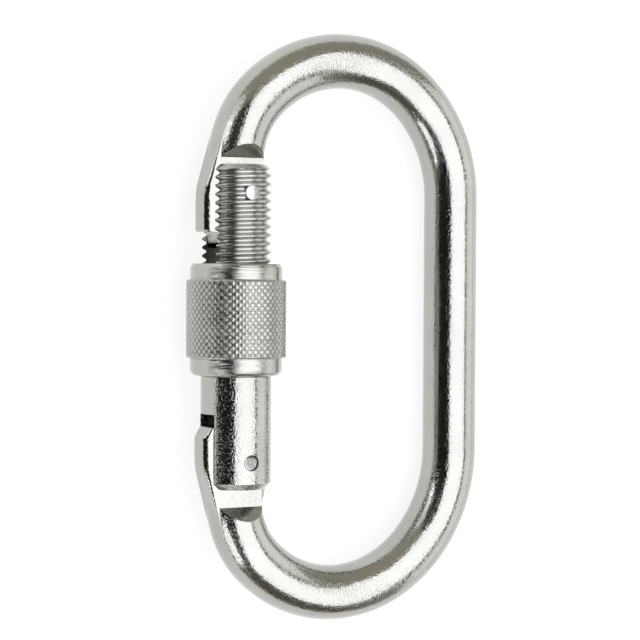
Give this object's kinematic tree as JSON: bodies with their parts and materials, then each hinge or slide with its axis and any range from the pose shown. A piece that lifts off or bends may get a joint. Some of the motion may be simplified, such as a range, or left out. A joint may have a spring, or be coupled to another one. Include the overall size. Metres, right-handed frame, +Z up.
{
  "type": "climbing carabiner",
  "caption": "Oval steel carabiner with a hinged, spring-closed gate and a knurled screw sleeve that locks the gate to the nose.",
  "frame": {"origin": "under the middle of the part, on the surface that it lies on", "axes": "+X from the gate to the spine, +Y along the body towards the nose, +Z up; the part lies on its spine and on the sleeve's knurl"},
  "size_m": [0.0586, 0.1064, 0.0178],
  "materials": {
    "frame_steel": "bright zinc plate",
    "gate_steel": "bright zinc plate",
    "sleeve_steel": "bright zinc plate, knurled",
    "pin_steel": "plain steel",
    "spring_steel": "plain steel"
  },
  "bodies": {
    "frame": {"frame": "frame_steel"},
    "gate": {"gate": "gate_steel", "hinge_rivet": "pin_steel", "latch_pin": "pin_steel", "gate_spring": "spring_steel"},
    "sleeve": {"sleeve": "sleeve_steel"},
    "plunger": {"plunger": "spring_steel"}
  },
  "joints": [
    {"name": "gate_swing", "type": "hinge", "parent": "frame", "child": "gate", "pos_m": [-0.0204, -0.0235, 0.0089], "axis": [-0.0884, 0, -0.9961], "range_deg": [0, 38], "stiffness_Nm_per_rad": 0.25, "springref_deg": -57.3},
    {"name": "sleeve_travel", "type": "slide", "parent": "gate", "child": "sleeve", "axis": [0, 1, 0], "range_m": [0, 0.0175]},
    {"name": "plunger_slide", "type": "slide", "parent": "gate", "child": "plunger", "axis": [0, 1, 0], "range_m": [0, 0.0012], "deforming": ["gate_spring"]}
  ],
  "couplings": [
    {"joint": "plunger_slide", "follows": "gate_swing", "m_per_rad": 0.0018}
  ]
}
